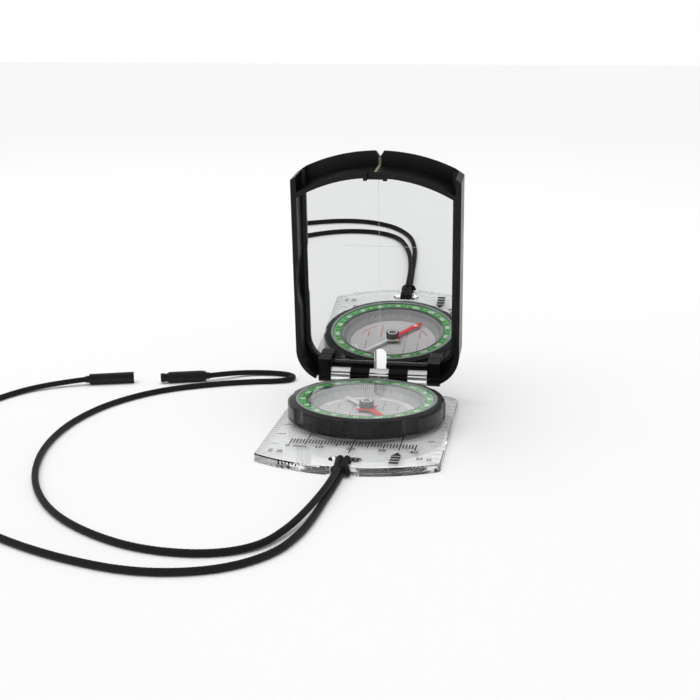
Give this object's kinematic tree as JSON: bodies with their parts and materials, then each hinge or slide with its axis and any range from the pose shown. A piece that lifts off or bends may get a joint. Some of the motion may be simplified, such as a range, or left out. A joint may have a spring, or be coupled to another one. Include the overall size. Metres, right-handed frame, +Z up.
{
  "type": "sighting compass",
  "caption": "Baseplate compass with a turning graduated dial, a liquid capsule and needle, a hinged mirror lid and a two-strand lanyard.",
  "frame": {"origin": "middle of the compass's footprint without its cord, on the surface the base plate lies on", "axes": "+X across the plate, +Y from the lanyard end to the hinge, +Z up out of the dial"},
  "size_m": [0.1684, 0.1858, 0.09],
  "materials": {
    "clear_plate": "clear moulded acrylic, polished edges",
    "pin_steel": "drawn stainless pin",
    "lid_black": "glossy black moulded plastic",
    "mirror_face": "silvered mirror",
    "foam_tape": "white foam tape",
    "luminous": "pale olive luminous strip",
    "bezel_black": "satin black grip plastic",
    "capsule_clear": "clear acrylic",
    "spring_steel": "bright spring wire",
    "scale_grey": "grey, fine dark ticks",
    "dial_green": "green with white numbers and ticks",
    "trim_grey": "light grey-green",
    "window_clear": "clear polished acrylic",
    "floor_print": "clear film printed with lines",
    "pivot_black": "black",
    "pivot_steel": "hardened steel",
    "needle_red": "red",
    "needle_white": "white",
    "magnet_dark": "dark sintered magnet",
    "hub_dark": "dark smoked plastic",
    "jewel": "clear synthetic sapphire",
    "cord_black": "black woven cord",
    "connector_black": "black moulded plastic"
  },
  "bodies": {
    "base": {"base_plate": "clear_plate", "hinge_pin": "pin_steel", "lanyard_hitch": "cord_black", "cord_strand_a": "cord_black", "cord_strand_b": "cord_black", "plug_relief": "connector_black", "plug_body": "connector_black", "plug_tip": "connector_black", "socket_relief": "connector_black", "socket_body": "connector_black"},
    "lid": {"lid_shell": "lid_black", "lid_wall_left": "lid_black", "lid_wall_right": "lid_black", "mirror": "mirror_face", "mirror_tape": "foam_tape", "sight_line": "luminous"},
    "dial": {"bezel_ring": "bezel_black", "capsule_body": "capsule_clear", "retaining_ring": "spring_steel", "scale_ring": "scale_grey", "graduation_ring": "dial_green", "trim_ring": "trim_grey", "dial_window": "window_clear", "orienting_disc": "floor_print", "pivot_base": "pivot_black", "pivot_pin": "pivot_steel"},
    "needle": {"north_arm": "needle_red", "south_arm": "needle_white", "needle_magnet": "magnet_dark", "needle_hub": "hub_dark", "jewel_bearing": "jewel"}
  },
  "joints": [
    {"name": "lid_hinge", "type": "hinge", "parent": "base", "child": "lid", "pos_m": [0, 0.03648, 0.0088], "axis": [-1, 0, 0], "range_deg": [-82.8, 97.2]},
    {"name": "dial_turn", "type": "hinge", "parent": "base", "child": "dial", "pos_m": [0, 0.00578, 0.0035], "axis": [0, 0, 1], "continuous": true},
    {"name": "needle_swing", "type": "hinge", "parent": "dial", "child": "needle", "pos_m": [0, 0.00578, 0.0075], "axis": [0, 0, 1], "continuous": true}
  ]
}
